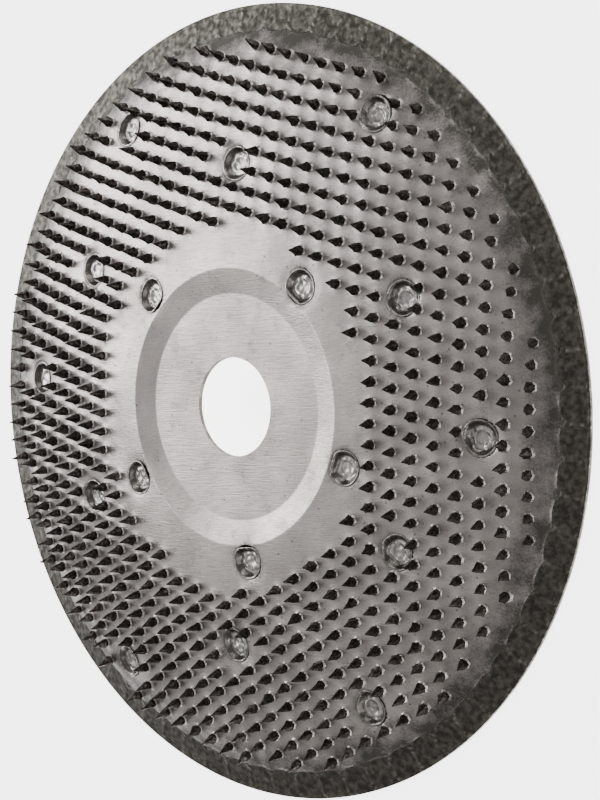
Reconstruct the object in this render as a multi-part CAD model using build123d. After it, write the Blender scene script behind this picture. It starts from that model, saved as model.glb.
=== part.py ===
from build123d import *
import os
from math import asin, atan2, ceil, cos, degrees, hypot, pi, radians, sin

# Domed carving disc for an angle grinder, +Z along the bore axis towards the toothed side.
# The origin is the centre of the bore in the rear clamping face. Sizes are in mm and degrees.

# Disc and bore
disc_diameter = 180.0
bore_diameter = 22.23
sheet_thickness = 0.5

# Hub: a flat floor for the clamping nut, with a bevel up to the toothed sheet
nut_floor_diameter = 51.0
nut_bevel_width = 5.7
sheet_gap = 1.2

# Dome of the backing sheet, from the edge of the hub to the rim
dome_start_slope = 5.3
dome_curve_radius = 385.0

# Rim: the toothed sheet bends down onto the backing sheet and is seam welded to it
seam_width = 6.5
closing_width = 10.0
seam_mark_radius = 9.0
seam_mark_pitch = 7.8
seam_mark_depth = 0.15

# Teeth, square to the sheet, in rows of a skewed grid
tooth_height = 4.5
tooth_base_radius = 1.15
tooth_waist_radius = 0.85
tooth_waist_height = 1.3
tooth_tip_radius = 0.1
tooth_pitch = 4.476
tooth_row_spacing = 5.254
tooth_row_stagger = 1.11
tooth_row_angle = 85.445
tooth_grid_shift = (-1.12, -0.18)
field_to_seam = 1.8
tooth_to_weld = 0.05

# Spot welds: a dished cup in the toothed sheet, with its nugget through the backing sheet
weld_radius = 3.5
weld_foot_radius = 2.8
weld_nugget_radius = 2.0
weld_lip_width = 0.25
weld_floor_radius = 2.2
weld_pit_radius = 1.3
weld_pit_bevel = 0.4
weld_mark_depth = 0.12
hub_weld_margin = 0.2
hub_weld_to_field = 2.2
inner_weld_inset = 13.5
outer_weld_inset = 8.2

# The welds are set by hand: each one's step outwards from its ring, and its angle
hub_weld_steps = ((-0.6, 49.4), (0.5, 133.6), (0.8, 207.6), (-0.3, 274.5), (0.2, 338.3))
inner_weld_steps = ((0.0, 24.8), (0.0, 87.5), (2.8, 145.4), (0.3, 203.3), (0.2, 265.0), (0.0, 325.3))
outer_weld_steps = ((0.4, 56.8), (0.6, 119.0), (-2.6, 174.6), (3.0, 233.6), (-0.4, 296.0), (-6.8, 354.4))

# Radii that follow from the sizes above
disc_radius = disc_diameter / 2
bore_radius = bore_diameter / 2
floor_radius = nut_floor_diameter / 2
hub_radius = floor_radius + nut_bevel_width
seam_radius = disc_radius - seam_width
closing_radius = seam_radius - closing_width
hub_weld_ring = hub_radius + hub_weld_margin + weld_radius
field_inner_radius = hub_weld_ring + weld_radius + hub_weld_to_field
field_outer_radius = seam_radius - field_to_seam
inner_weld_ring = field_inner_radius + inner_weld_inset
outer_weld_ring = field_outer_radius - outer_weld_inset


def arc_fall(start_slope, curve_radius, run):
    """Drop and final slope of an arc that curves down from a slope over a horizontal run."""
    end_slope = degrees(asin(sin(radians(start_slope)) + run / curve_radius))
    drop = curve_radius * (cos(radians(start_slope)) - cos(radians(end_slope)))
    return drop, end_slope


def backing_face(radius):
    """Height and slope of the backing sheet's front face."""
    if radius <= hub_radius:
        return sheet_thickness, 0.0
    drop, slope = arc_fall(dome_start_slope, dome_curve_radius, radius - hub_radius)
    return sheet_thickness - drop, slope


def closing_curve():
    """Start height, start slope and radius of the arc that closes the toothed sheet's edge."""
    height, slope = backing_face(closing_radius)
    height += sheet_gap
    chord_slope = degrees(atan2(height - backing_face(seam_radius)[0], closing_width))
    sine_gain = sin(radians(2 * chord_slope - slope)) - sin(radians(slope))
    return height, slope, closing_width / sine_gain


def toothed_underside(radius):
    """Height and slope of the toothed sheet's underside."""
    height, slope = backing_face(radius)
    if radius < hub_radius or radius >= seam_radius:
        return height, slope
    if radius <= closing_radius:
        return height + sheet_gap, slope
    start_height, start_slope, curve_radius = closing_curve()
    drop, slope = arc_fall(start_slope, curve_radius, radius - closing_radius)
    return start_height - drop, slope


def profile_point(profile, radius, lift=0.0):
    """Point of a profile in the XZ plane."""
    return Vector(radius, 0, profile(radius)[0] + lift)


def profile_arc(profile, start, end, lift=0.0):
    """Arc of a profile between two radii."""
    return ThreePointArc(*[profile_point(profile, r, lift) for r in (start, (start + end) / 2, end)])


def backing_line(lift=0.0):
    """Edges of the backing sheet's front face, from the bore to the rim."""
    hub = Line(profile_point(backing_face, bore_radius, lift), profile_point(backing_face, hub_radius, lift))
    return [hub, profile_arc(backing_face, hub_radius, disc_radius, lift)]


def toothed_line(lift=0.0):
    """Edges of the toothed sheet's underside, from the bore to the rim."""
    bore_edge = profile_point(backing_face, bore_radius, lift)
    floor_edge = profile_point(backing_face, floor_radius, lift)
    bevel_edge = profile_point(toothed_underside, hub_radius, lift)
    closing_end = profile_point(backing_face, seam_radius, lift)
    closing_middle = profile_point(toothed_underside, seam_radius - closing_width / 2, lift)
    closing_start = profile_point(toothed_underside, closing_radius, lift)
    return [
        Line(bore_edge, floor_edge),
        Line(floor_edge, bevel_edge),
        profile_arc(toothed_underside, hub_radius, closing_radius, lift),
        ThreePointArc(closing_start, closing_middle, closing_end),
        profile_arc(backing_face, seam_radius, disc_radius, lift),
    ]


def revolve_between(lower, upper):
    """Ring between two chains of edges that both run from the bore to the rim."""
    inner = Line(lower[0] @ 0, upper[0] @ 0)
    outer = Line(lower[-1] @ 1, upper[-1] @ 1)
    section = make_face([*lower, outer, *upper, inner])
    return revolve(section, Axis.Z, 360)


def polar_spot(profile, radius, angle, lift=0.0):
    """Place on a domed face at a radius and angle, with its Z square to the face."""
    height, slope = profile(radius)
    return Rot(0, 0, angle) * Pos(radius, 0, height + lift) * Rot(0, slope, 0)


def weld_spots():
    """Radius and angle of each spot weld, by name."""
    rings = {
        "hub": (hub_weld_ring, hub_weld_steps),
        "inner": (inner_weld_ring, inner_weld_steps),
        "outer": (outer_weld_ring, outer_weld_steps),
    }
    return {
        f"{ring}_spot_weld_{number}": (radius + step, angle)
        for ring, (radius, steps) in rings.items()
        for number, (step, angle) in enumerate(steps, 1)
    }


def weld_places():
    """Place of each spot weld on the backing sheet's front face."""
    return [polar_spot(backing_face, radius, angle) for radius, angle in weld_spots().values()]


def spot_weld(radius):
    """Dished cup with its nugget, as tall as the gap between the two sheets at a radius."""
    gap = toothed_underside(radius)[0] - backing_face(radius)[0]
    top = gap + sheet_thickness
    bottom = weld_mark_depth - sheet_thickness
    pit = sheet_thickness - weld_mark_depth * 2
    outline = [
        (0, bottom),
        (weld_nugget_radius, bottom),
        (weld_nugget_radius, 0),
        (weld_foot_radius, 0),
        (weld_radius, gap),
        (weld_radius, top),
        (weld_radius - weld_lip_width, top),
        (weld_floor_radius, sheet_thickness),
        (weld_pit_radius, sheet_thickness),
        (weld_pit_radius - weld_pit_bevel, pit),
        (0, pit),
    ]
    section = make_face(Plane.XZ * Polyline(*outline, close=True))
    return revolve(section, Axis.Z, 360)


def backing_sheet():
    """Smooth domed sheet, with a hole for each weld nugget."""
    lift = sheet_thickness
    sheet = revolve_between(backing_line(-lift), backing_line())
    punch = Cylinder(weld_nugget_radius, 4 * sheet_thickness)
    return sheet - [place * punch for place in weld_places()]


def seam_area():
    """Area of the seam in plan: a rim band with an inner edge of overlapping round marks."""
    count = ceil(pi * disc_diameter / seam_mark_pitch)
    centre_radius = seam_radius + seam_mark_radius
    band = Circle(disc_radius + seam_mark_radius) - Circle(centre_radius)
    marks = [Rot(0, 0, 360 / count * i) * Pos(centre_radius, 0) * Circle(seam_mark_radius) for i in range(count)]
    return band + marks


def seam_prism():
    """Upright prism over the seam's area, through the whole height of the rim."""
    depth = disc_radius
    return Pos(0, 0, -depth) * extrude(seam_area(), 2 * depth)


def toothed_sheet(prism):
    """Domed front sheet, with its seam area and a hole for each weld cup taken out."""
    sheet = revolve_between(toothed_line(), toothed_line(sheet_thickness))
    sheet -= prism
    punch = Cylinder(weld_radius, 4 * (sheet_gap + sheet_thickness))
    return sheet - [place * punch for place in weld_places()]


def seam_weld(prism):
    """Weld band that joins the two sheets at the rim, with its marks pressed in a little."""
    ring = revolve_between(toothed_line(), toothed_line(sheet_thickness - seam_mark_depth))
    return ring & prism


def tooth():
    """One spike with a flared foot, standing on its flat base."""
    outline = [
        (0, 0),
        (tooth_base_radius, 0),
        (tooth_waist_radius, tooth_waist_height),
        (tooth_tip_radius, tooth_height),
        (0, tooth_height),
    ]
    section = make_face(Plane.XZ * Polyline(*outline, close=True))
    return revolve(section, Axis.Z, 360)


def tooth_grid():
    """Plan positions of the teeth, in a ring-shaped field about the grid's own centre."""
    rows = ceil(disc_radius / tooth_row_spacing) + 1
    along = radians(tooth_row_angle)
    for row in range(-rows, rows + 1):
        across = row * tooth_row_spacing
        columns = ceil((disc_radius + rows * tooth_row_stagger) / tooth_pitch)
        for column in range(-columns, columns + 1):
            run = column * tooth_pitch + row * tooth_row_stagger
            x, y = run * cos(along) - across * sin(along), run * sin(along) + across * cos(along)
            if field_inner_radius <= hypot(x, y) <= field_outer_radius:
                yield x + tooth_grid_shift[0], y + tooth_grid_shift[1]


def clear_of_welds(x, y):
    """True where a tooth's base stays off every spot weld."""
    reach = weld_radius + tooth_base_radius + tooth_to_weld
    away = [
        hypot(x - radius * cos(radians(angle)), y - radius * sin(radians(angle)))
        for radius, angle in weld_spots().values()
    ]
    return min(away) >= reach


def teeth():
    """Every tooth of the field, each a solid of its own on the toothed sheet's front face."""
    spike = tooth()
    placed = []
    for x, y in tooth_grid():
        if clear_of_welds(x, y):
            radius, angle = hypot(x, y), degrees(atan2(y, x))
            placed.append(polar_spot(toothed_underside, radius, angle, sheet_thickness) * spike)
    return Compound(children=placed)


def build():
    """Write one file for each node."""
    os.makedirs("parts", exist_ok=True)
    prism = seam_prism()
    nodes = {
        "backing_sheet": backing_sheet(),
        "toothed_sheet": toothed_sheet(prism),
        "rim_seam_weld": seam_weld(prism),
        "rasp_teeth": teeth(),
    }
    for name, (radius, angle) in weld_spots().items():
        nodes[name] = polar_spot(backing_face, radius, angle) * spot_weld(radius)
    for name, shape in nodes.items():
        export_step(shape, f"parts/{name}.step")


build()
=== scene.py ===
"""Domed carving disc for an angle grinder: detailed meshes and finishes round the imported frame."""
import logging
import math
import random
from dataclasses import dataclass, field
from enum import Enum
from typing import Callable, Sequence

import bpy
import numpy as np
from mathutils import Matrix, Vector, noise
from mathutils.bvhtree import BVHTree


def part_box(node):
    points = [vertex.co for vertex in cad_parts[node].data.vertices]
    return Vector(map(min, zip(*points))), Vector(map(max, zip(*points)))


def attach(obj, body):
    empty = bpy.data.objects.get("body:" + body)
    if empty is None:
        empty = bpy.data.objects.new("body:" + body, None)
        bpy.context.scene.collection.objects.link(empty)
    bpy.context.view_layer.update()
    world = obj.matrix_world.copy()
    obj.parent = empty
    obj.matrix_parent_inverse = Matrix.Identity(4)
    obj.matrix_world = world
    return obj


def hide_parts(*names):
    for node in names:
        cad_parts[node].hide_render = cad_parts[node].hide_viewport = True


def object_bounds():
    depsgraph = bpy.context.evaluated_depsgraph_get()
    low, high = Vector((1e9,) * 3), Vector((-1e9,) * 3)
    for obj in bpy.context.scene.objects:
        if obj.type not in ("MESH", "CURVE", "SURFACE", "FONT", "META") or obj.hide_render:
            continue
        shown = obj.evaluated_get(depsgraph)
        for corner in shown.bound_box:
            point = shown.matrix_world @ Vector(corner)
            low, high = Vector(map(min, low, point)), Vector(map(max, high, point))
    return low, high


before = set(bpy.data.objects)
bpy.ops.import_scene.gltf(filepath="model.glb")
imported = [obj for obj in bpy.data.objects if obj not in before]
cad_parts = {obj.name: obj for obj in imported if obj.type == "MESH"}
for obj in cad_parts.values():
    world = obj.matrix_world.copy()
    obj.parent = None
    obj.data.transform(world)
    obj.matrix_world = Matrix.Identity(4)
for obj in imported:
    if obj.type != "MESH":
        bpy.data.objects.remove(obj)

log = logging.getLogger("carving_disc")
MM = 0.001
CAD_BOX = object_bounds()
Station = tuple[float, float]
Triple = tuple[float, float, float]
Seat = tuple[Vector, Vector]
Socket = bpy.types.NodeSocket


class Slot(Enum):
    """Material slots of the record."""

    TOOTHED = "toothed_steel"
    BACKING = "backing_steel"
    SEAM = "seam_steel"
    TOOTH = "tooth_steel"
    WELD = "weld_steel"


class WeldRing(Enum):
    """The three rings of spot welds."""

    HUB = "hub"
    INNER = "inner"
    OUTER = "outer"


# ---------------------------------------------------------------- modelling helpers


def deselect() -> None:
    """Leave edit mode and select nothing."""
    if bpy.context.object and bpy.context.object.mode != "OBJECT":
        bpy.ops.object.mode_set(mode="OBJECT")
    bpy.ops.object.select_all(action="DESELECT")


def turn_rings(name: str, stations: Sequence[Station], segments: int, closed: bool) -> bpy.types.Object:
    """Model a round form by extruding a circle from one station to the next.

    Args:
        name: Name of the new piece.
        stations: Radius and height of each ring, in order along the section.
        segments: Number of points round each ring.
        closed: True if the section returns to its first station.

    Returns:
        The new object, with its place in its mesh.
    """
    deselect()
    radius, height = stations[0]
    bpy.ops.mesh.primitive_circle_add(vertices=segments, radius=radius, location=(0, 0, height))
    piece = bpy.context.object
    piece.name = piece.data.name = name
    bpy.ops.object.transform_apply(location=True, rotation=True, scale=True)
    bpy.ops.object.mode_set(mode="EDIT")
    bpy.ops.mesh.select_all(action="SELECT")
    for next_radius, next_height in list(stations[1:]) + ([stations[0]] if closed else []):
        bpy.ops.mesh.extrude_edges_move(TRANSFORM_OT_translate={"value": (0, 0, next_height - height)})
        ratio = next_radius / radius
        bpy.ops.transform.resize(value=(ratio, ratio, 1), center_override=(0, 0, next_height))
        radius, height = next_radius, next_height
    bpy.ops.mesh.select_all(action="SELECT")
    bpy.ops.mesh.remove_doubles(threshold=0.002 * MM)
    if not closed:
        bpy.ops.mesh.fill_holes(sides=0)
    bpy.ops.mesh.normals_make_consistent(inside=False)
    deselect()
    return piece


def press(piece: bpy.types.Object, shape: Callable[[np.ndarray], np.ndarray]) -> None:
    """Move a piece's points as a press tool would.

    Args:
        piece: The piece to shape.
        shape: Takes the points as rows of x, y and z, and returns them moved.
    """
    count = len(piece.data.vertices)
    points = np.empty(count * 3)
    piece.data.vertices.foreach_get("co", points)
    piece.data.vertices.foreach_set("co", shape(points.reshape(-1, 3)).ravel())
    piece.data.update()


def paint(piece: bpy.types.Object, name: str, values: np.ndarray) -> None:
    """Store one number a point as an attribute that the materials read.

    Args:
        piece: The piece to paint.
        name: Attribute name.
        values: One number for each point.
    """
    layer = piece.data.attributes.new(name, "FLOAT", "POINT")
    layer.data.foreach_set("value", np.asarray(values, dtype=np.float32))


def points_of(piece: bpy.types.Object) -> np.ndarray:
    """Read the places of a piece's points.

    Args:
        piece: The piece to read.

    Returns:
        Rows of x, y and z.
    """
    points = np.empty(len(piece.data.vertices) * 3)
    piece.data.vertices.foreach_get("co", points)
    return points.reshape(-1, 3)


def shade(piece: bpy.types.Object, angle: float) -> None:
    """Smooth a piece's shading over its blunt edges.

    Args:
        piece: The piece to smooth.
        angle: Edges sharper than this many degrees stay sharp.
    """
    deselect()
    piece.select_set(True)
    bpy.context.view_layer.objects.active = piece
    bpy.ops.object.shade_smooth_by_angle(angle=math.radians(angle))
    deselect()


def group_points(count: int, edges: np.ndarray) -> np.ndarray:
    """Number the points so that all points of one solid share a number.

    Args:
        count: Number of points.
        edges: Pairs of points that an edge joins.

    Returns:
        The lowest point number in each point's solid.
    """
    label = np.arange(count)
    while True:
        lowest = np.minimum(label[edges[:, 0]], label[edges[:, 1]])
        fresh = label.copy()
        np.minimum.at(fresh, edges[:, 0], lowest)
        np.minimum.at(fresh, edges[:, 1], lowest)
        fresh = fresh[fresh]
        if (fresh == label).all():
            return label
        label = fresh


def weld_nodes() -> list[str]:
    """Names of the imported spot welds, in order."""
    return [node for node in sorted(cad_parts) if "_spot_weld_" in node]


def weld_centres() -> list[tuple[float, float]]:
    """Plan position of every packed spot weld."""
    boxes = [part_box(node) for node in weld_nodes()]
    return [((low[0] + high[0]) / 2, (low[1] + high[1]) / 2) for low, high in boxes]


def settle(piece: bpy.types.Object, slot: Slot, nodes: Sequence[str]) -> None:
    """Seat a finished piece on the frame in place of its CAD nodes.

    Args:
        piece: The finished piece.
        slot: Record slot that its finish belongs to; not used.
        nodes: CAD nodes that the piece stands for.
    """
    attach(piece, "root")
    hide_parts(*nodes)
    log.info("%s: %d faces", piece.name, len(piece.data.polygons))


# ---------------------------------------------------------------- finishes


class NodeSketch:
    """A new material with short calls that add and join its nodes."""

    def __init__(self, name: str) -> None:
        """Start an empty metal material.

        Args:
            name: Name of the material.
        """
        self.material = bpy.data.materials.new(name)
        self.material.use_nodes = True
        self.tree = self.material.node_tree
        self.shader = self.tree.nodes["Principled BSDF"]
        self.shader.inputs["Metallic"].default_value = 1.0
        self.place = self.tree.nodes.new("ShaderNodeTexCoord").outputs["Object"]

    def join(self, source: Socket, target: Socket) -> None:
        """Link two sockets."""
        self.tree.links.new(source, target)

    def attribute(self, name: str) -> Socket:
        """Number painted on the mesh.

        Args:
            name: Name that it was painted under.

        Returns:
            The number's socket.
        """
        node = self.tree.nodes.new("ShaderNodeAttribute")
        node.attribute_name = name
        return node.outputs["Fac"]

    def noise(self, scale: float, detail: float, stretch: Triple = (1, 1, 1), turn: float = 0.0) -> Socket:
        """Noise on object coordinates.

        Args:
            scale: Noise scale per metre.
            detail: Octaves of finer noise.
            stretch: Scale of each axis, for grain that runs one way.
            turn: Turn of the grain about Z, in degrees.

        Returns:
            The noise value socket.
        """
        mapping = self.tree.nodes.new("ShaderNodeMapping")
        mapping.inputs["Scale"].default_value = stretch
        mapping.inputs["Rotation"].default_value = (0, 0, math.radians(turn))
        node = self.tree.nodes.new("ShaderNodeTexNoise")
        node.inputs["Scale"].default_value = scale
        node.inputs["Detail"].default_value = detail
        self.join(self.place, mapping.inputs["Vector"])
        self.join(mapping.outputs["Vector"], node.inputs["Vector"])
        return node.outputs["Fac"]

    def cells(self, scale: float) -> Socket:
        """Distance to the nearest of many scattered points.

        Args:
            scale: Number of points along a metre.

        Returns:
            The distance socket.
        """
        node = self.tree.nodes.new("ShaderNodeTexVoronoi")
        node.inputs["Scale"].default_value = scale
        self.join(self.place, node.inputs["Vector"])
        return node.outputs["Distance"]

    def span(self, value: Socket, low: float, high: float, start: float, end: float) -> Socket:
        """Remap a value from one range to another, held at both ends.

        Args:
            value: The value to remap.
            low: Value that gives the start.
            high: Value that gives the end.
            start: Result at and below low.
            end: Result at and above high.

        Returns:
            The result socket.
        """
        node = self.tree.nodes.new("ShaderNodeMapRange")
        self.join(value, node.inputs["Value"])
        for socket, number in zip(("From Min", "From Max", "To Min", "To Max"), (low, high, start, end)):
            node.inputs[socket].default_value = number
        return node.outputs["Result"]

    def maths(self, operation: str, first: Socket, second: Socket | float) -> Socket:
        """Join two numbers by a maths operation.

        Args:
            operation: Name of the operation.
            first: Its first number.
            second: Its second number.

        Returns:
            The value socket.
        """
        node = self.tree.nodes.new("ShaderNodeMath")
        node.operation = operation
        self.join(first, node.inputs[0])
        if isinstance(second, float):
            node.inputs[1].default_value = second
        else:
            self.join(second, node.inputs[1])
        return node.outputs["Value"]

    def blend(self, amount: Socket, first: Socket | Sequence[float],
              second: Socket | Sequence[float]) -> Socket:
        """Mix two colours.

        Args:
            amount: Share of the second colour, from 0 to 1.
            first: The first colour.
            second: The second colour.

        Returns:
            The colour socket.
        """
        node = self.tree.nodes.new("ShaderNodeMix")
        node.data_type = "RGBA"
        self.join(amount, node.inputs["Factor"])
        for socket, colour in ((node.inputs[6], first), (node.inputs[7], second)):
            if isinstance(colour, Socket):
                self.join(colour, socket)
            else:
                socket.default_value = (*colour, 1)
        return node.outputs[2]

    def relief(self, layers: Sequence[tuple[Socket, float, float]]) -> None:
        """Stack bump layers on the shader.

        Args:
            layers: Height socket, strength and distance in metres of each layer.
        """
        last = None
        for height, strength, distance in layers:
            node = self.tree.nodes.new("ShaderNodeBump")
            node.inputs["Strength"].default_value = strength
            node.inputs["Distance"].default_value = distance
            self.join(height, node.inputs["Height"])
            if last is not None:
                self.join(last, node.inputs["Normal"])
            last = node.outputs["Normal"]
        self.join(last, self.shader.inputs["Normal"])


@dataclass(frozen=True)
class SheetSteel:
    """Cold-rolled sheet with fine grain, darkened by painted heat tint and painted shade where its
    attribute says.
    """

    name: str = "toothed_sheet_steel"
    bright: Triple = (0.58, 0.53, 0.51)
    dull: Triple = (0.41, 0.375, 0.36)
    # Dark of the specks and pits, and of the painted heat tint and painted shade.
    burnt_and_shade: Triple = (0.085, 0.078, 0.07)
    roughness: float = 0.34

    def material(self) -> bpy.types.Material:
        """Build the finish.

        Returns:
            The new material.
        """
        sketch = NodeSketch(self.name)
        patches = sketch.noise(scale=70, detail=6)
        grain = sketch.noise(scale=260, detail=5, stretch=(1, 14, 14), turn=8)
        scratch = sketch.noise(scale=90, detail=2, stretch=(1, 40, 40), turn=28)
        speckle = sketch.noise(scale=2200, detail=3)
        pits = sketch.cells(scale=330)
        tone = sketch.blend(sketch.span(patches, 0.38, 0.62, 0, 1), self.bright, self.dull)
        tone = sketch.blend(sketch.span(grain, 0.5, 0.75, 0, 0.7), tone, self.dull)
        tone = sketch.blend(sketch.span(scratch, 0.64, 0.7, 0, 0.8), tone, self.dull)
        tone = sketch.blend(sketch.span(speckle, 0.6, 0.8, 0, 0.4), tone, self.burnt_and_shade)
        tone = sketch.blend(sketch.span(pits, 0.03, 0.12, 0.8, 0), tone, self.burnt_and_shade)
        cloud = sketch.span(sketch.noise(scale=240, detail=5), 0.32, 0.68, -0.28, 0.28)
        smears = sketch.maths("ADD", cloud, sketch.span(speckle, 0.3, 0.7, -0.14, 0.14))
        # Painted shade and heat tint: the painted attribute darkens the sheet near the seam, round the
        # welds and on the bore wall.
        heat_and_shade = sketch.maths("ADD", sketch.attribute("scorch_and_shade"), smears)
        tone = sketch.blend(sketch.span(heat_and_shade, 0.12, 0.95, 0, 1), tone, self.burnt_and_shade)
        sketch.join(tone, sketch.shader.inputs["Base Color"])
        rough = sketch.span(grain, 0.3, 0.7, self.roughness - 0.05, self.roughness + 0.07)
        rough = sketch.maths("ADD", rough, sketch.span(heat_and_shade, 0, 1, 0, 0.14))
        sketch.join(rough, sketch.shader.inputs["Roughness"])
        sketch.relief([(patches, 0.35, 0.0006), (grain, 0.4, 0.00012), (speckle, 0.25, 0.00005)])
        return sketch.material


@dataclass(frozen=True)
class SeamSteel:
    """Mottled, heat-darkened steel of the rim seam."""

    name: str = "rim_seam_steel"
    dark: Triple = (0.05, 0.047, 0.04)
    light: Triple = (0.17, 0.16, 0.143)
    lip: Triple = (0.3, 0.285, 0.26)
    roughness: float = 0.46

    def material(self) -> bpy.types.Material:
        """Build the finish.

        Returns:
            The new material.
        """
        sketch = NodeSketch(self.name)
        blotch = sketch.noise(scale=700, detail=6)
        crumbs = sketch.cells(scale=900)
        tone = sketch.blend(sketch.span(blotch, 0.38, 0.72, 0, 1), self.dark, self.light)
        tone = sketch.blend(sketch.span(crumbs, 0.15, 0.6, 0.45, 0), tone, self.dark)
        worn = sketch.maths("MULTIPLY", sketch.attribute("lip"), sketch.span(blotch, 0.3, 0.6, 0.2, 1))
        tone = sketch.blend(worn, tone, self.lip)
        sketch.join(tone, sketch.shader.inputs["Base Color"])
        sketch.join(sketch.span(blotch, 0.3, 0.7, self.roughness + 0.1, self.roughness - 0.08),
                    sketch.shader.inputs["Roughness"])
        sketch.relief([(blotch, 0.5, 0.0003), (crumbs, 0.3, 0.00015)])
        return sketch.material


@dataclass(frozen=True)
class ShadeDarkToothSteel:
    """Steel of the spikes, painted near-black: painted shade for flanks turned away from the light."""

    name: str = "tooth_steel"
    # Near-black: painted shade standing in for flanks that face away from the light.
    dark: Triple = (0.03, 0.025, 0.022)
    worn: Triple = (0.12, 0.105, 0.095)
    roughness: float = 0.38

    def material(self) -> bpy.types.Material:
        """Build the finish.

        Returns:
            The new material.
        """
        sketch = NodeSketch(self.name)
        scale = sketch.noise(scale=1500, detail=4)
        tone = sketch.blend(sketch.span(scale, 0.45, 0.7, 0, 1), self.dark, self.worn)
        sketch.join(tone, sketch.shader.inputs["Base Color"])
        sketch.join(sketch.span(scale, 0.3, 0.7, self.roughness + 0.12, self.roughness - 0.06),
                    sketch.shader.inputs["Roughness"])
        sketch.relief([(scale, 0.35, 0.0002)])
        return sketch.material


@dataclass(frozen=True)
class WeldSteel:
    """Pressed electrode mark, bright on its floor and dark on its wall, the dark being heat tint with
    painted shade in the crater.
    """

    name: str = "spot_weld_steel"
    bright: Triple = (0.60, 0.57, 0.55)
    # Crater wall and lip colour: heat tint with painted shade.
    dark: Triple = (0.13, 0.118, 0.108)
    roughness: float = 0.27

    def material(self) -> bpy.types.Material:
        """Build the finish.

        Returns:
            The new material.
        """
        sketch = NodeSketch(self.name)
        mottle = sketch.noise(scale=900, detail=5)
        # Painted shade and heat tint: the painted attribute darkens the crater wall and lip.
        heat_and_shade = sketch.maths("ADD", sketch.attribute("scorch_and_shade"), sketch.span(mottle, 0.3, 0.7, -0.25, 0.25))
        tone = sketch.blend(sketch.span(heat_and_shade, 0.2, 0.9, 0, 1), self.bright, self.dark)
        sketch.join(tone, sketch.shader.inputs["Base Color"])
        sketch.join(sketch.span(mottle, 0.3, 0.7, self.roughness - 0.06, self.roughness + 0.12),
                    sketch.shader.inputs["Roughness"])
        sketch.relief([(mottle, 0.4, 0.0003)])
        return sketch.material


# ---------------------------------------------------------------- sub-assemblies


@dataclass
class FrameProfile:
    """Heights of the disc's faces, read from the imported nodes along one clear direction."""

    clear_angle: float = 10.0
    reach: float = 0.05
    probe_start: float = 11.2
    probe_end: float = 89.95
    probe_step: float = 0.1
    front_ease: float = 0.16 * MM
    rear_ease: float = 0.6 * MM
    ease_steps: int = 7
    slope_step: float = 0.4 * MM

    def __post_init__(self) -> None:
        """Probe the faces."""
        self.radii = np.arange(self.probe_start, self.probe_end, self.probe_step) * MM
        self.front = self.probe(("toothed_sheet", "rim_seam_weld"), -1)
        self.rear = self.probe(("backing_sheet",), 1)
        self.bore = min(math.hypot(*v.co.xy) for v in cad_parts["backing_sheet"].data.vertices)
        self.rim = max(math.hypot(*v.co.xy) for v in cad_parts["backing_sheet"].data.vertices)

    def probe(self, nodes: Sequence[str], direction: int) -> np.ndarray:
        """Heights met by rays along Z at each radius.

        Args:
            nodes: CAD nodes that the rays may meet.
            direction: -1 for rays from above, 1 for rays from below.

        Returns:
            One height for each radius.
        """
        trees = [BVHTree.FromObject(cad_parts[n], bpy.context.evaluated_depsgraph_get()) for n in nodes]
        angle = math.radians(self.clear_angle)
        heights = []
        for radius in self.radii:
            start = Vector((radius * math.cos(angle), radius * math.sin(angle), -direction * self.reach))
            hits = [tree.ray_cast(start, Vector((0, 0, direction)))[0] for tree in trees]
            heights.append(max((h.z * -direction for h in hits if h), default=float("nan")) * -direction)
        heights = np.array(heights)
        good = ~np.isnan(heights)
        return np.interp(self.radii, self.radii[good], heights[good])

    def eased(self, heights: np.ndarray, radius: np.ndarray | float, ease: float) -> np.ndarray | float:
        """Height of a face, averaged over a short run so that its bends are eased.

        Args:
            heights: Height of the face at each probed radius.
            radius: Where the height is wanted.
            ease: Half the length of the run.

        Returns:
            One height for each radius.
        """
        steps = np.linspace(-ease, ease, self.ease_steps)
        return sum(np.interp(radius + s, self.radii, heights) for s in steps) / len(steps)

    def front_height(self, radius: np.ndarray | float) -> np.ndarray | float:
        """Front face height, eased over its bends."""
        return self.eased(self.front, radius, self.front_ease)

    def rear_height(self, radius: np.ndarray | float) -> np.ndarray | float:
        """Rear face height, eased over its bends."""
        return self.eased(self.rear, radius, self.rear_ease)

    def front_normal(self, x: float, y: float) -> Vector:
        """Direction square to the front face.

        Args:
            x: Plan position.
            y: Plan position.

        Returns:
            A unit vector.
        """
        radius, step = math.hypot(x, y), self.slope_step
        rise = self.front_height(radius + step) - self.front_height(radius - step)
        return Vector((-rise * x / radius, -rise * y / radius, 2 * step)).normalized()


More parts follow.
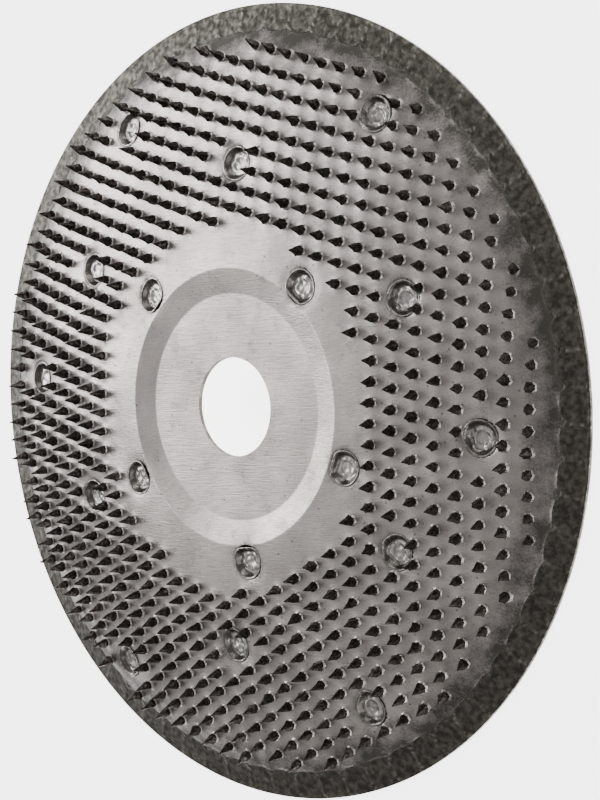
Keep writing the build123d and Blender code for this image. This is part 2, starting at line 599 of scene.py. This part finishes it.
@dataclass
class SeamMarks:
    """Round electrode marks that overlap along the rim."""

    count: int = 73
    radius: float = 9.0 * MM
    reach: float = 83.5 * MM
    dish_radius: float = 4.3 * MM
    dish_ring: float = 87.2 * MM
    wander: float = 0.12 * MM
    ring_wander: float = 3.0
    depth_spread: tuple[float, float] = (0.6, 1.3)
    press_depth: float = 0.1
    lip_rise: float = 0.2
    lip_start: float = 0.75
    off_disc: float = 1.0
    seed: int = 11

    def __post_init__(self) -> None:
        """Draw the wander of each mark."""
        dice = random.Random(self.seed)
        self.offsets = np.array([dice.uniform(-self.wander, self.wander) for _ in range(self.count)])
        self.depths = np.array([dice.uniform(*self.depth_spread) for _ in range(self.count)])

    def inner_edge(self, angle: np.ndarray) -> np.ndarray:
        """Radius of the scalloped edge that the marks make.

        Args:
            angle: Angles in radians.

        Returns:
            One radius for each angle.
        """
        step = 2 * math.pi / self.count
        index = np.round(angle / step).astype(int)
        best = np.full(angle.shape, self.off_disc)
        for near in (-1, 0, 1):
            mark = index + near
            centre = self.reach + self.radius + self.offsets[mark % self.count]
            across = centre * np.sin(angle - mark * step)
            inside = np.maximum(self.radius ** 2 - across ** 2, 0)
            edge = centre * np.cos(angle - mark * step) - np.sqrt(inside)
            best = np.minimum(best, np.where(inside > 0, edge, self.off_disc))
        return best

    def relief(self, x: np.ndarray, y: np.ndarray) -> np.ndarray:
        """Height of the pressed marks over the smooth band.

        Args:
            x: Plan positions.
            y: Plan positions.

        Returns:
            One height for each position, in metres.
        """
        angle, step = np.arctan2(y, x), 2 * math.pi / self.count
        index = np.floor(angle / step).astype(int)
        height = np.zeros(x.shape)
        for near in (-1, 0, 1, 2):
            mark = index + near
            centre = self.dish_ring + self.ring_wander * self.offsets[mark % self.count]
            centre_x, centre_y = centre * np.cos(mark * step), centre * np.sin(mark * step)
            away = np.hypot(x - centre_x, y - centre_y) / self.dish_radius
            lip = np.clip((away - self.lip_start) / (1 - self.lip_start), 0, 1)
            pressed = (self.lip_rise * lip ** 2 - self.press_depth) * MM * self.depths[mark % self.count]
            height = np.where(away < 1, pressed, height)
        return height


@dataclass
class SheetForm:
    """Sizes that the two sheets share."""

    thickness: float = 0.5 * MM
    edge: float = 0.07 * MM
    segments: int = 657
    under_step: int = 4
    smooth_angle: float = 40.0

    def rings(self, radii: Sequence[float], height: Callable[[float], float]) -> list[Station]:
        """Stations of a thin sheet, along its face and back along its underside.

        Args:
            radii: Radii along the face, from the bore outwards.
            height: Height of the face at a radius.

        Returns:
            A closed section.
        """
        face = [(r, height(r)) for r in radii]
        inner, outer = radii[0], radii[-1]
        face[0] = (inner + self.edge, height(inner))
        face.append((outer, height(outer) - self.edge))
        face[-2] = (outer - self.edge, height(outer))
        under = [(r, height(r) - self.thickness) for r in [*radii[:-1:self.under_step], outer][::-1]]
        under[-1] = (inner + self.edge, height(inner) - self.thickness)
        close = [(inner, height(inner) - self.thickness + self.edge), (inner, height(inner) - self.edge)]
        return face + under + close


@dataclass
class ToothedSheet(SheetForm):
    """Front sheet: nut floor, bevel, dome and the edge that bends down to the seam."""

    profile: FrameProfile = field(default_factory=FrameProfile)
    marks: SeamMarks = field(default_factory=SeamMarks)
    floor_radius: float = 25.5 * MM
    bevel_radius: float = 31.2 * MM
    bend_radius: float = 73.5 * MM
    band_radius: float = 84.2 * MM
    weld_reach: float = 3.9 * MM
    weld_depth: float = 1.5 * MM
    weld_wall: float = 0.9 * MM
    dent_depth: float = 0.14 * MM
    dent_width: float = 1.5 * MM
    mound_height: float = 0.28 * MM
    mound_width: float = 1.0 * MM
    shade_and_heat_start: float = 75.0 * MM
    weld_heat_and_shade: float = 0.5
    ripple: float = 0.06 * MM
    ripple_scale: float = 90.0
    ripple_layer: float = 0.3
    ripple_fade: float = 6.0 * MM
    bend_steps: Sequence[float] = (-0.6, -0.3, -0.12, 0.0, 0.12, 0.3, 0.6)
    bend_gap: float = 1.2 * MM
    bevel_gap: float = 1.5 * MM
    closing_gap: float = 0.7 * MM
    floor_rings: int = 7
    bevel_rings: int = 4
    dome_rings: int = 69
    closing_rings: int = 15
    seats: Sequence[Seat] = ()

    def radii(self) -> list[float]:
        """Radii of the rings along the front face, closer together at its bends.

        Returns:
            The radii, from the bore outwards.
        """
        near_bend = np.array(self.bend_steps) * MM
        bevel_start, bevel_end = self.floor_radius + self.bevel_gap, self.bevel_radius - self.bevel_gap
        floor = np.linspace(self.profile.bore, self.floor_radius - self.bend_gap, self.floor_rings)
        bevel = np.linspace(bevel_start, bevel_end, self.bevel_rings)
        dome = np.linspace(self.bevel_radius + self.bend_gap, self.bend_radius, self.dome_rings)
        closing = np.linspace(self.bend_radius + self.closing_gap, self.band_radius, self.closing_rings)
        bends = (near_bend + self.floor_radius, bevel, near_bend + self.bevel_radius)
        return [float(r) for r in np.concatenate([floor, *bends, dome, closing])]

    def sink(self, x: np.ndarray, y: np.ndarray) -> np.ndarray:
        """Depth of the hollows that the spot welds stand in.

        Args:
            x: Plan positions.
            y: Plan positions.

        Returns:
            One depth for each position.
        """
        depth = np.zeros(x.shape)
        for weld_x, weld_y in weld_centres():
            away = np.hypot(x - weld_x, y - weld_y)
            wall = np.clip((self.weld_reach - away) / self.weld_wall, 0, 1)
            dent = np.exp(-(np.maximum(away - self.weld_reach, 0) / self.dent_width) ** 2)
            depth = np.maximum(depth, wall * self.weld_depth + dent * self.dent_depth)
        return depth

    def mounds(self, x: np.ndarray, y: np.ndarray) -> np.ndarray:
        """Height that the punch drew up round each tooth.

        Args:
            x: Plan positions.
            y: Plan positions.

        Returns:
            One height for each position.
        """
        height = np.zeros(x.shape)
        for foot, _ in self.seats:
            away = ((x - foot.x) ** 2 + (y - foot.y) ** 2) / self.mound_width ** 2
            height = np.maximum(height, self.mound_height * np.exp(-away / 2))
        return height

    def tint(self, x: np.ndarray, y: np.ndarray) -> np.ndarray:
        """Painted shade and heat tint: strong where the sheet closes down to the rim seam, a little in the
        dent round each weld.

        Args:
            x: Plan positions.
            y: Plan positions.

        Returns:
            A share from 0 to 1 for each position.
        """
        share = np.clip((np.hypot(x, y) - self.shade_and_heat_start) / (self.band_radius - self.shade_and_heat_start), 0, 1)
        for weld_x, weld_y in weld_centres():
            away = np.hypot(x - weld_x, y - weld_y) - self.weld_reach
            share = np.maximum(share, self.weld_heat_and_shade * np.clip(1 - away / self.dent_width, 0, 1))
        # The bore wall is painted fully dark: painted shade inside the bore.
        return np.where(np.hypot(x, y) < self.profile.bore + self.edge / 2, 1.0, share)

    def swell(self, x: float, y: float) -> float:
        """Height of the dome's ripple at a plan position, as a share of its size."""
        return noise.noise(Vector((x * self.ripple_scale, y * self.ripple_scale, self.ripple_layer)))

    def shape(self, points: np.ndarray) -> np.ndarray:
        """Fit the outer rings to the scalloped seam and ripple the dome a little.

        Args:
            points: Rows of x, y and z.

        Returns:
            The rows, moved.
        """
        x, y, z = points.T
        radius, angle = np.hypot(x, y), np.arctan2(y, x)
        drop = z - self.profile.front_height(radius)
        edge = self.marks.inner_edge(angle)
        share = np.clip((radius - self.bend_radius) / (self.band_radius - self.bend_radius), 0, 1)
        moved = np.where(share > 0, self.bend_radius + share * (edge - self.bend_radius), radius)
        scale = moved / radius
        x, y = x * scale, y * scale
        swell = np.array([self.swell(a, b) for a, b in zip(x, y)])
        fade = np.clip((moved - self.bevel_radius) / self.ripple_fade, 0, 1)
        z = self.profile.front_height(moved) + drop + swell * self.ripple * fade
        z += self.mounds(x, y) - self.sink(x, y)
        return np.stack([x, y, z], axis=1)

    def build(self, finish: bpy.types.Material) -> bpy.types.Object:
        """Model and dress the sheet.

        Args:
            finish: Its steel.

        Returns:
            The finished piece.
        """
        stations = self.rings(self.radii(), lambda r: float(self.profile.front_height(r)))
        piece = turn_rings("front_sheet", stations, self.segments, closed=True)
        press(piece, self.shape)
        # Paints the darkening by the seam and round the welds and the dark bore wall: painted shade with
        # heat tint.
        paint(piece, "scorch_and_shade", self.tint(*points_of(piece).T[:2]))
        piece.data.materials.append(finish)
        shade(piece, self.smooth_angle)
        settle(piece, Slot.TOOTHED, ["toothed_sheet"])
        return piece


@dataclass
class BackingSheet(SheetForm):
    """Smooth rear sheet."""

    profile: FrameProfile = field(default_factory=FrameProfile)
    hub_radius: float = 31.2 * MM
    seam_radius: float = 82.0 * MM
    seam_fade: float = 4.0 * MM
    seam_darkening: float = 0.7
    hub_gap: float = 1.5 * MM
    bend_start: float = 1.0 * MM
    bend_end: float = 1.6 * MM
    bend_step: float = 0.5 * MM
    dome_gap: float = 2.2 * MM
    hub_rings: int = 8
    dome_rings: int = 30
    segments: int = 480

    def radii(self) -> list[float]:
        """Radii of the rings along the face, closer together at the edge of the hub.

        Returns:
            The radii, from the bore outwards.
        """
        hub = np.linspace(self.profile.bore, self.hub_radius - self.hub_gap, self.hub_rings)
        bend = np.arange(self.hub_radius - self.bend_start, self.hub_radius + self.bend_end, self.bend_step)
        dome = np.linspace(self.hub_radius + self.dome_gap, self.profile.rim, self.dome_rings)
        return [float(r) for r in (*hub, *bend, *dome)]

    def build(self, finish: bpy.types.Material) -> bpy.types.Object:
        """Model and dress the sheet.

        Args:
            finish: Its steel.

        Returns:
            The finished piece.
        """
        stations = self.rings(self.radii(), lambda r: float(self.profile.rear_height(r)) + self.thickness)
        piece = turn_rings("rear_sheet", stations, self.segments, closed=True)
        radius = np.hypot(*points_of(piece).T[:2])
        scorch_and_shade = np.clip((radius - self.seam_radius) / self.seam_fade, 0, 1) * self.seam_darkening
        # Darker towards the rim seam; the bore wall is painted fully dark as painted shade.
        paint(piece, "scorch_and_shade", np.where(radius < self.profile.bore + self.edge / 2, 1.0, scorch_and_shade))
        piece.data.materials.append(finish)
        shade(piece, self.smooth_angle)
        settle(piece, Slot.BACKING, ["backing_sheet"])
        return piece


@dataclass
class RimSeam:
    """Welded band along the rim, with its overlapping round marks."""

    profile: FrameProfile
    marks: SeamMarks
    per_mark: int = 14
    rings: int = 26
    lip_height: float = 0.09 * MM
    thickness: float = 0.5 * MM
    edge: float = 0.08 * MM
    under_rings: int = 5
    base_gap: float = 0.01 * MM
    face_depth: float = 0.2 * MM
    edge_fade: float = 0.8 * MM
    grit_scale: float = 600.0
    grit_height: float = 0.03
    smooth_angle: float = 45.0

    def height(self, radius: float) -> float:
        """Height of the band's smooth face at a radius."""
        return float(self.profile.front_height(radius))

    def build(self, finish: bpy.types.Material) -> bpy.types.Object:
        """Model and dress the seam.

        Args:
            finish: Its steel.

        Returns:
            The finished piece.
        """
        inner, outer = self.marks.reach, self.profile.rim
        top = [(float(r), self.height(r)) for r in np.linspace(inner, outer - self.edge, self.rings)]
        base = self.height(outer) - self.thickness
        under = [(outer, self.height(outer) - self.edge), (outer, base + self.base_gap)]
        for radius in np.linspace(outer, inner, self.under_rings)[1:]:
            under.append((float(radius), self.height(radius) - self.thickness + self.base_gap))
        piece = turn_rings("rim_seam", top + under, self.marks.count * self.per_mark, closed=True)
        press(piece, self.shape)
        relief = self.marks.relief(*points_of(piece).T[:2])
        paint(piece, "lip", np.clip(relief / self.lip_height, 0, 1))
        piece.data.materials.append(finish)
        shade(piece, self.smooth_angle)
        settle(piece, Slot.SEAM, ["rim_seam_weld"])
        return piece

    def grit(self, x: float, y: float) -> float:
        """Roughness of the band at a plan position, as a share of its height."""
        return noise.fractal(Vector((x * self.grit_scale, y * self.grit_scale, 0)), 1.0, 2.0, 3)

    def shape(self, points: np.ndarray) -> np.ndarray:
        """Fit the band's inner edge to the marks and press them in.

        Args:
            points: Rows of x, y and z.

        Returns:
            The rows, moved.
        """
        x, y, z = points.T
        radius, angle = np.hypot(x, y), np.arctan2(y, x)
        drop = z - self.profile.front_height(radius)
        outer = self.profile.rim
        share = (outer - radius) / (outer - self.marks.reach)
        moved = outer - share * (outer - self.marks.inner_edge(angle))
        x, y = x * moved / radius, y * moved / radius
        on_top = drop > -self.face_depth
        fade = np.clip((outer - moved) / self.edge_fade, 0, 1)
        grit = np.array([self.grit(a, b) for a, b in zip(x, y)])
        relief = self.marks.relief(x, y) + grit * self.grit_height * MM
        z = self.profile.front_height(moved) + drop + np.where(on_top, relief * fade, 0)
        return np.stack([x, y, z], axis=1)


@dataclass
class RaspTeeth:
    """Every spike of the tooth field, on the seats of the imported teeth."""

    variants: int = 7
    segments: int = 7
    seed: int = 5
    height: float = 4.5
    lean: float = 2.5
    bow: float = 0.14
    unevenness: float = 0.5
    girth: tuple[float, float] = (0.92, 1.08)
    length: tuple[float, float] = (0.93, 1.0)
    lobe_counts: Sequence[int] = (2, 3, 3)
    phase_range: float = 6.28
    collar: tuple[float, float] = (0.5, 1.4)
    collar_tear: float = 1.2
    foot_top: float = 0.4 * MM
    end_slice: float = 0.05 * MM
    merge_gap: float = 0.001 * MM
    smooth_angle: float = 50.0
    flange: Sequence[Triple] = (
        (1.5, -0.02, 0.0), (1.2, 0.2, 0.03), (1.0, 0.45, 0.05))
    spike: Sequence[Triple] = (
        (1.0, 0.62, 0.08), (1.18, 0.84, 0.14), (1.06, 1.35, 0.18), (0.82, 2.05, 0.09),
        (0.5, 3.15, 0.05), (0.13, 4.44, 0.0))

    def seats(self) -> list[Seat]:
        """Find where each packed tooth stands.

        Returns:
            Base centre and axis of each tooth.
        """
        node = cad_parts["rasp_teeth"]
        deselect()
        copy = node.copy()
        copy.data = node.data.copy()
        copy.parent = None
        bpy.context.scene.collection.objects.link(copy)
        copy.select_set(True)
        bpy.context.view_layer.objects.active = copy
        bpy.ops.object.mode_set(mode="EDIT")
        bpy.ops.mesh.select_all(action="SELECT")
        bpy.ops.mesh.remove_doubles(threshold=self.merge_gap)
        deselect()
        points = points_of(copy)
        label = group_points(len(points), np.array([e.vertices[:] for e in copy.data.edges]))
        seats = []
        for group in np.unique(label):
            own = points[label == group]
            axis = np.linalg.svd(own - own.mean(axis=0), full_matrices=False)[2][0]
            along = own @ (axis * np.sign(axis[2]))
            foot = own[along < along.min() + self.end_slice].mean(axis=0)
            top = own[along > along.max() - self.end_slice].mean(axis=0)
            seats.append((Vector(foot), Vector(top - foot)))
        bpy.data.objects.remove(copy)
        return seats

    def tooth(self, number: int, dice: random.Random,
              finishes: Sequence[bpy.types.Material]) -> bpy.types.Object:
        """Model one variant of a tooth at the origin.

        Args:
            number: Number of the variant.
            dice: Seeded source of its irregularity.
            finishes: Sheet steel for the drawn-up foot, tooth steel for the spike.

        Returns:
            The variant.
        """
        rings = [*self.flange, *self.spike]
        stations = [(r * MM, z * MM) for r, z, _ in rings]
        piece = turn_rings(f"tooth_{number}", stations, self.segments, closed=False)
        phase, lobes = dice.uniform(0, self.phase_range), dice.choice(self.lobe_counts)
        bend = Vector((dice.uniform(-1, 1), dice.uniform(-1, 1), 0)) * self.bow
        for vertex in piece.data.vertices:
            height = vertex.co.z / MM
            swing = min(rings, key=lambda ring: abs(ring[1] - height))[2]
            around = math.atan2(vertex.co.y, vertex.co.x)
            chance = dice.uniform(-self.unevenness, self.unevenness)
            lobe = math.cos(lobes * around + phase) * swing + chance * swing
            vertex.co.x *= 1 + lobe
            vertex.co.y *= 1 + lobe
            if self.collar[0] < height < self.collar[1]:
                vertex.co.z += lobe * self.collar_tear * MM
            vertex.co += bend * MM * (height / self.height) ** 2
        for finish in finishes:
            piece.data.materials.append(finish)
        for face in piece.data.polygons:
            face.material_index = int(face.center.z > self.foot_top)
        return piece

    def build(self, finishes: Sequence[bpy.types.Material], seats: Sequence[Seat],
              tint: Callable[[np.ndarray, np.ndarray], np.ndarray]) -> bpy.types.Object:
        """Model the variants, set a copy on each seat and join them.

        Args:
            finishes: Sheet steel for the drawn-up foot, tooth steel for the spike.
            seats: Base centre and axis of each tooth.
            tint: Share of painted shade and heat tint of the sheet at plan positions.

        Returns:
            The whole tooth field.
        """
        dice = random.Random(self.seed)
        models = [self.tooth(i, dice, finishes) for i in range(self.variants)]
        copies = []
        for foot, axis in seats:
            model = dice.choice(models)
            copy = model.copy()
            copy.data = model.data.copy()
            bpy.context.scene.collection.objects.link(copy)
            lean = Matrix.Rotation(math.radians(dice.gauss(0, self.lean)), 4, "X")
            spin = Matrix.Rotation(dice.uniform(0, 2 * math.pi), 4, "Z")
            stretch = Matrix.Diagonal((dice.uniform(*self.girth),) * 2 + (dice.uniform(*self.length), 1))
            upright = axis.to_track_quat("Z", "Y").to_matrix().to_4x4()
            copy.data.transform(Matrix.Translation(foot) @ upright @ spin @ lean @ stretch)
            copies.append(copy)
        deselect()
        for copy in copies:
            copy.select_set(True)
        bpy.context.view_layer.objects.active = copies[0]
        bpy.ops.object.join()
        piece = bpy.context.object
        piece.name = piece.data.name = "tooth_field"
        for model in models:
            bpy.data.objects.remove(model)
        # The drawn-up feet take the same painted shade and heat tint as the sheet.
        paint(piece, "scorch_and_shade", tint(*points_of(piece).T[:2]))
        shade(piece, self.smooth_angle)
        settle(piece, Slot.TOOTH, ["rasp_teeth"])
        return piece


@dataclass
class SpotWeld:
    """One electrode crater with its nugget."""

    node: str
    ring: WeldRing
    profile: FrameProfile
    segments: int = 48
    nugget: float = 2.0
    drop: float = 1.7
    sheet: float = 0.5
    floor_margin: float = 0.1
    rough_reach: float = 3.0
    rough_scale: float = 900.0
    roughening: float = 0.3
    oval: float = 0.025
    lobed: float = 0.02
    phase_range: float = 6.0
    flat_reach: float = 0.82
    softness: float = 12.0
    smooth_angle: float = 50.0

    def sections(self) -> list[Triple]:
        """Section of the crater and its nugget.

        Returns:
            Radius, height over the front face and darkening of each ring, in millimetres; the darkening is
            heat tint with painted shade on the crater wall and lip.
        """
        base = -self.drop
        back = base - self.sheet
        return [
            (self.nugget * 0.5, back - 0.02, 0.2), (self.nugget - 0.3, back - 0.02, 0.5),
            (self.nugget, back - 0.07, 0.8), (self.nugget + 0.25, back - 0.05, 1.0),
            (self.nugget + 0.3, back + 0.1, 1.0), (self.nugget, base + 0.02, 0.5), (2.9, base + 0.02, 0.5),
            (3.65, -0.75, 0.9), (4.1, -0.3, 0.9), (4.06, -0.1, 0.9), (3.9, -0.03, 0.5),
            (3.66, -0.09, 0.8), (3.42, -0.38, 1.0), (3.16, -0.8, 1.0), (2.88, -1.14, 0.95),
            (2.6, -1.3, 0.7), (2.25, -1.26, 0.2), (1.95, -1.2, 0.1), (1.7, -1.24, 0.3), (1.45, -1.34, 0.55),
            (1.1, -1.4, 0.35), (0.6, -1.42, 0.2), (0.25, -1.42, 0.1),
        ]

    def outline(self, around: float, phases: tuple[float, float]) -> float:
        """Share of the round outline, flattened towards the nut recess at the hub.

        Args:
            around: Angle round the weld, in radians.
            phases: Turn of each of its two wobbles.

        Returns:
            The share at that angle.
        """
        oval = self.oval * math.cos(2 * around + phases[0])
        wobble = 1 + oval + self.lobed * math.cos(3 * around + phases[1])
        if self.ring is not WeldRing.HUB:
            return wobble
        flat = self.flat_reach / max(-math.cos(around), 0.01)
        blended = math.exp(-self.softness * wobble) + math.exp(-self.softness * flat)
        return -math.log(blended) / self.softness

    def build(self, finish: bpy.types.Material) -> bpy.types.Object:
        """Model and dress the weld.

        Args:
            finish: Its steel.

        Returns:
            The finished piece.
        """
        low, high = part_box(self.node)
        x, y = (low[0] + high[0]) / 2, (low[1] + high[1]) / 2
        radius, angle = math.hypot(x, y), math.atan2(y, x)
        dice = random.Random(self.node)
        phases = (dice.uniform(0, self.phase_range), dice.uniform(0, self.phase_range))
        sections = self.sections()
        height = self.profile.front_height(radius)
        squat = (height - self.profile.rear_height(radius)) / ((self.drop + self.sheet) * MM)
        stations = [(r * MM, z * MM) for r, z, _ in sections]
        piece = turn_rings(self.node + "_mark", stations, self.segments, closed=False)
        heat_and_shade_values = []
        for vertex in piece.data.vertices:
            reach = math.hypot(vertex.co.x, vertex.co.y) / MM
            depth = vertex.co.z / MM
            ring = min(sections, key=lambda s: abs(s[0] - reach) + abs(s[1] - depth))
            heat_and_shade_values.append(ring[2])
            around = math.atan2(vertex.co.y, vertex.co.x)
            on_front = depth > self.floor_margin - self.drop
            share = self.outline(around, phases) if on_front else 1.0
            vertex.co.x *= share
            vertex.co.y *= share
            if on_front and reach < self.rough_reach:
                spot = Vector((vertex.co.x * self.rough_scale, vertex.co.y * self.rough_scale, phases[0]))
                vertex.co.z += noise.noise(spot) * self.roughening * MM
            vertex.co.z *= squat
        # Paints the crater wall and lip dark: heat tint with painted shade.
        paint(piece, "scorch_and_shade", np.array(heat_and_shade_values))
        turn = Matrix.Rotation(angle, 4, "Z")
        piece.data.transform(Matrix.Translation((x, y, height)) @ self.upright(x, y) @ turn)
        piece.data.materials.append(finish)
        shade(piece, self.smooth_angle)
        settle(piece, Slot.WELD, [self.node])
        return piece

    def upright(self, x: float, y: float) -> Matrix:
        """Tilt that carries Z onto the front face's normal without a twist."""
        return Vector((0, 0, 1)).rotation_difference(self.profile.front_normal(x, y)).to_matrix().to_4x4()


@dataclass
class Studio:
    """Pale floor, soft lights and the camera."""

    floor_size: float = 6.0
    floor_glow: float = 4.0
    floor_gap: float = 0.02 * MM
    floor_colour: Triple = (0.93, 0.93, 0.93)
    floor_roughness: float = 0.9
    air_colour: Triple = (1.0, 0.98, 0.96)
    air_glow: float = 0.4
    lens: float = 101.13
    sensor: float = 36.0
    near_clip: float = 0.01
    far_clip: float = 20.0
    camera_place: Triple = (0.35386, 0.02455, 0.35832)
    camera_right: Triple = (0.73164, -0.04378, -0.68028)
    camera_up: Triple = (0.0, 0.99794, -0.06422)

    def add_floor(self) -> None:
        """Lay a plain pale floor under the rim."""
        deselect()
        place = (0, 0, CAD_BOX[0][2] - self.floor_gap)
        bpy.ops.mesh.primitive_plane_add(size=self.floor_size, location=place)
        floor = bpy.context.object
        floor.name = "floor"
        bpy.ops.object.transform_apply(location=True, rotation=True, scale=True)
        sheet = bpy.data.materials.new("floor_paper")
        sheet.use_nodes = True
        shader = sheet.node_tree.nodes["Principled BSDF"]
        shader.inputs["Base Color"].default_value = (*self.floor_colour, 1)
        shader.inputs["Roughness"].default_value = self.floor_roughness
        shader.inputs["Emission Color"].default_value = (1, 1, 1, 1)
        shader.inputs["Emission Strength"].default_value = self.floor_glow
        floor.data.materials.append(sheet)

    def add_light(self, name: str, place: Triple, size: float, power: float) -> None:
        """Hang a square soft light that faces the disc.

        Args:
            name: Name of the light.
            place: Its centre, in metres.
            size: Its side, in metres.
            power: Its power, in watts.
        """
        light = bpy.data.lights.new(name, "AREA")
        light.size, light.energy = size, power
        lamp = bpy.data.objects.new(name, light)
        lamp.location = place
        lamp.rotation_euler = Vector(place).to_track_quat("Z", "Y").to_euler()
        bpy.context.scene.collection.objects.link(lamp)

    def add_world(self) -> None:
        """Fill the room with plain soft light."""
        world = bpy.data.worlds.new("studio_air")
        world.use_nodes = True
        background = world.node_tree.nodes["Background"]
        background.inputs["Color"].default_value = (*self.air_colour, 1)
        background.inputs["Strength"].default_value = self.air_glow
        bpy.context.scene.world = world

    def add_camera(self) -> None:
        """Set the camera square to its own axes."""
        camera = bpy.data.objects.new("camera", bpy.data.cameras.new("camera"))
        camera.data.lens = self.lens
        camera.data.sensor_width = self.sensor
        camera.data.clip_start, camera.data.clip_end = self.near_clip, self.far_clip
        right, up = Vector(self.camera_right).normalized(), Vector(self.camera_up).normalized()
        axes = Matrix((right, up, right.cross(up))).transposed().to_4x4()
        camera.matrix_world = Matrix.Translation(self.camera_place) @ axes
        bpy.context.scene.collection.objects.link(camera)
        bpy.context.scene.camera = camera

    def build(self) -> None:
        """Set up the whole studio."""
        self.add_floor()
        self.add_world()
        self.add_light("key_light", place=(-1.03, 0.3, 0.58), size=0.75, power=9)
        self.add_light("hub_light", place=(-0.82, -0.02, 0.86), size=0.9, power=1.2)
        self.add_light("rear_light", place=(0.25, 1.1, 0.55), size=0.9, power=6)
        self.add_light("side_light", place=(1.0, -0.5, 0.45), size=1.0, power=6)
        self.add_camera()


def main() -> None:
    """Build the disc piece by piece, then the studio."""
    logging.basicConfig(level=logging.INFO, format="%(name)s: %(message)s")
    profile, marks = FrameProfile(), SeamMarks()
    sheet_steel = SheetSteel().material()
    teeth = RaspTeeth()
    seats = teeth.seats()
    front = ToothedSheet(profile=profile, marks=marks, seats=seats)
    front.build(sheet_steel)
    BackingSheet(profile=profile).build(SheetSteel(name="backing_sheet_steel").material())
    RimSeam(profile, marks).build(SeamSteel().material())
    teeth.build((sheet_steel, ShadeDarkToothSteel().material()), seats, front.tint)
    weld_steel = WeldSteel().material()
    for node in weld_nodes():
        SpotWeld(node, WeldRing(node.split("_")[0]), profile).build(weld_steel)
    Studio().build()


if __name__ == "__main__":
    main()
